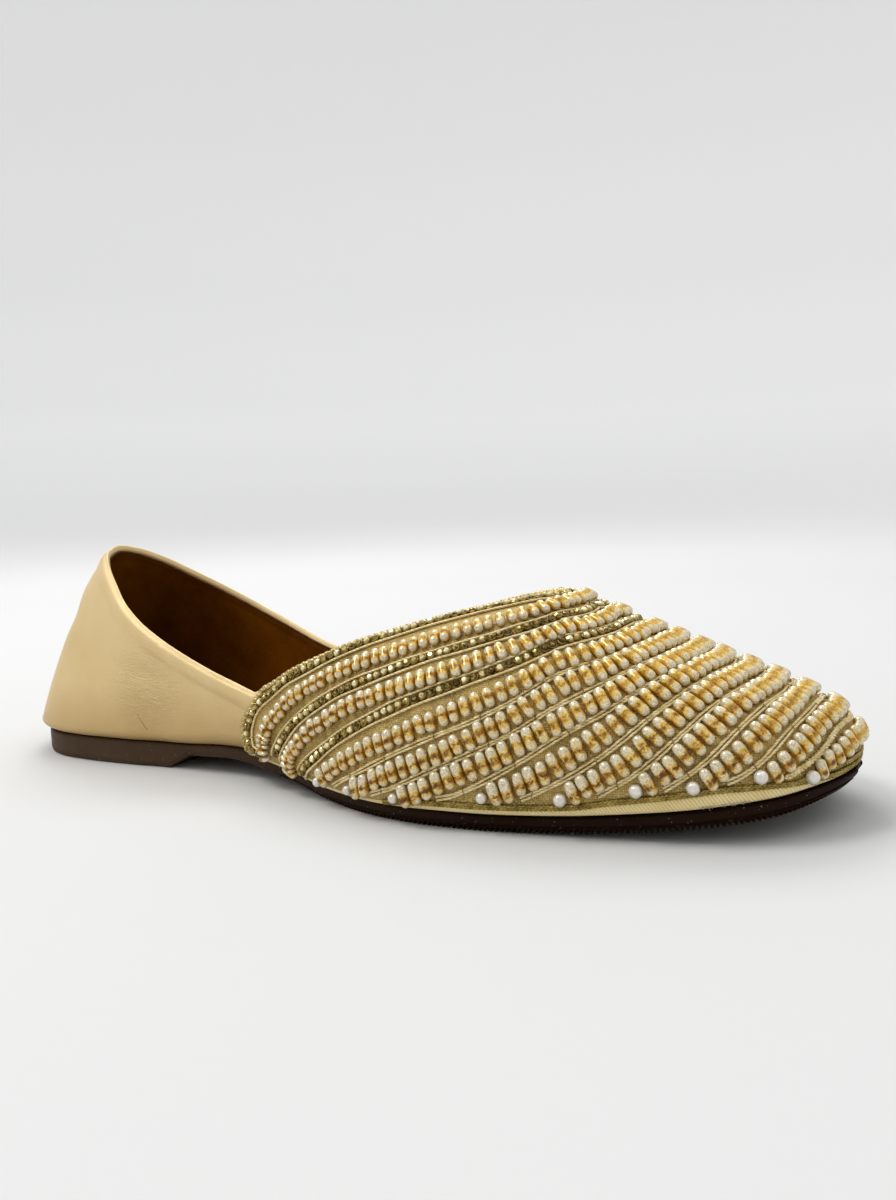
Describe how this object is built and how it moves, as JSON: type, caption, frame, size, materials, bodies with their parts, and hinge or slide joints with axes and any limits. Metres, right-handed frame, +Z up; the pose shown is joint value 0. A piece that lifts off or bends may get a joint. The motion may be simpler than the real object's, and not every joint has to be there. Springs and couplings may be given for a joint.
{
  "type": "beaded bridal slipper",
  "caption": "Flat pointed-vamp bridal slipper: moulded sole with low heel, padded insole, hollow leather upper with open collar, and slanting strings of pearls and stones over the vamp.",
  "frame": {"origin": "on the floor under the middle of the shoe's box", "axes": "+X from heel to toe, -Y to the outer side of the foot, +Z up"},
  "size_m": [0.2556, 0.091, 0.0638],
  "materials": {
    "outsole": "satin",
    "insole": "matt",
    "upper": "satin",
    "vamp_panel": "metallic weave",
    "pearl_string_01": "pearly",
    "pearl_string_02": "pearly",
    "pearl_string_03": "pearly",
    "pearl_string_04": "pearly",
    "pearl_string_05": "pearly",
    "pearl_string_06": "pearly",
    "pearl_string_07": "pearly",
    "pearl_string_08": "pearly",
    "pearl_string_09": "pearly",
    "pearl_string_10": "pearly",
    "pearl_string_11": "pearly",
    "stone_string_01": "faceted",
    "stone_string_02": "faceted",
    "stone_string_03": "faceted"
  },
  "bodies": {
    "root": {"outsole": "outsole", "insole": "insole", "upper": "upper", "vamp_panel": "vamp_panel", "pearl_string_01": "pearl_string_01", "pearl_string_02": "pearl_string_02", "pearl_string_03": "pearl_string_03", "pearl_string_04": "pearl_string_04", "pearl_string_05": "pearl_string_05", "pearl_string_06": "pearl_string_06", "pearl_string_07": "pearl_string_07", "pearl_string_08": "pearl_string_08", "pearl_string_09": "pearl_string_09", "pearl_string_10": "pearl_string_10", "pearl_string_11": "pearl_string_11", "stone_string_01": "stone_string_01", "stone_string_02": "stone_string_02", "stone_string_03": "stone_string_03"}
  },
  "joints": []
}
